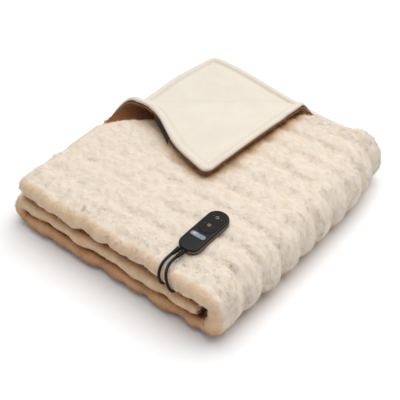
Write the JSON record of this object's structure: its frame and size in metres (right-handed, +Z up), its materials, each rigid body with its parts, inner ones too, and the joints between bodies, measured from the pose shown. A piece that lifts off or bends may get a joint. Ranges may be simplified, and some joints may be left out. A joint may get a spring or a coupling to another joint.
{
  "type": "electric heated blanket",
  "caption": "Soft long-pile heated throw, folded into a neat stack with one corner turned back, and its wired hand control resting on top.",
  "frame": {"origin": "centre of the bounding box of the folded stack, on the surface it rests on", "axes": "+X along the front of the stack to the large right-hand fold, +Y from the front fold to the back hems, +Z up"},
  "size_m": [0.4597, 0.559, 0.1442],
  "materials": {
    "fur": "long soft faux-fur pile, warm beige, brushed in broad flat ribs",
    "lining": "short dense plush, warm off-white",
    "label": "plain black woven label",
    "shell": "satin black moulded plastic",
    "plate": "smooth black key plate with gold symbols",
    "trim": "thin satin gold parting line",
    "window": "smoky grey display window",
    "cord": "matte black soft sheath",
    "pins": "plain plug blades"
  },
  "bodies": {
    "root": {"fur_panel": "fur", "lining_panel": "lining", "seam_label": "label", "handset_base": "shell", "handset_trim": "trim", "handset_cover": "shell", "key_plate": "plate", "display_window": "window", "strain_relief_left": "cord", "strain_relief_right": "cord", "blanket_lead": "cord", "mains_lead": "cord", "mains_coil": "cord", "mains_tail": "cord", "coil_tie": "cord", "plug_body": "cord", "plug_pin_left": "pins", "plug_pin_right": "pins"}
  },
  "joints": []
}
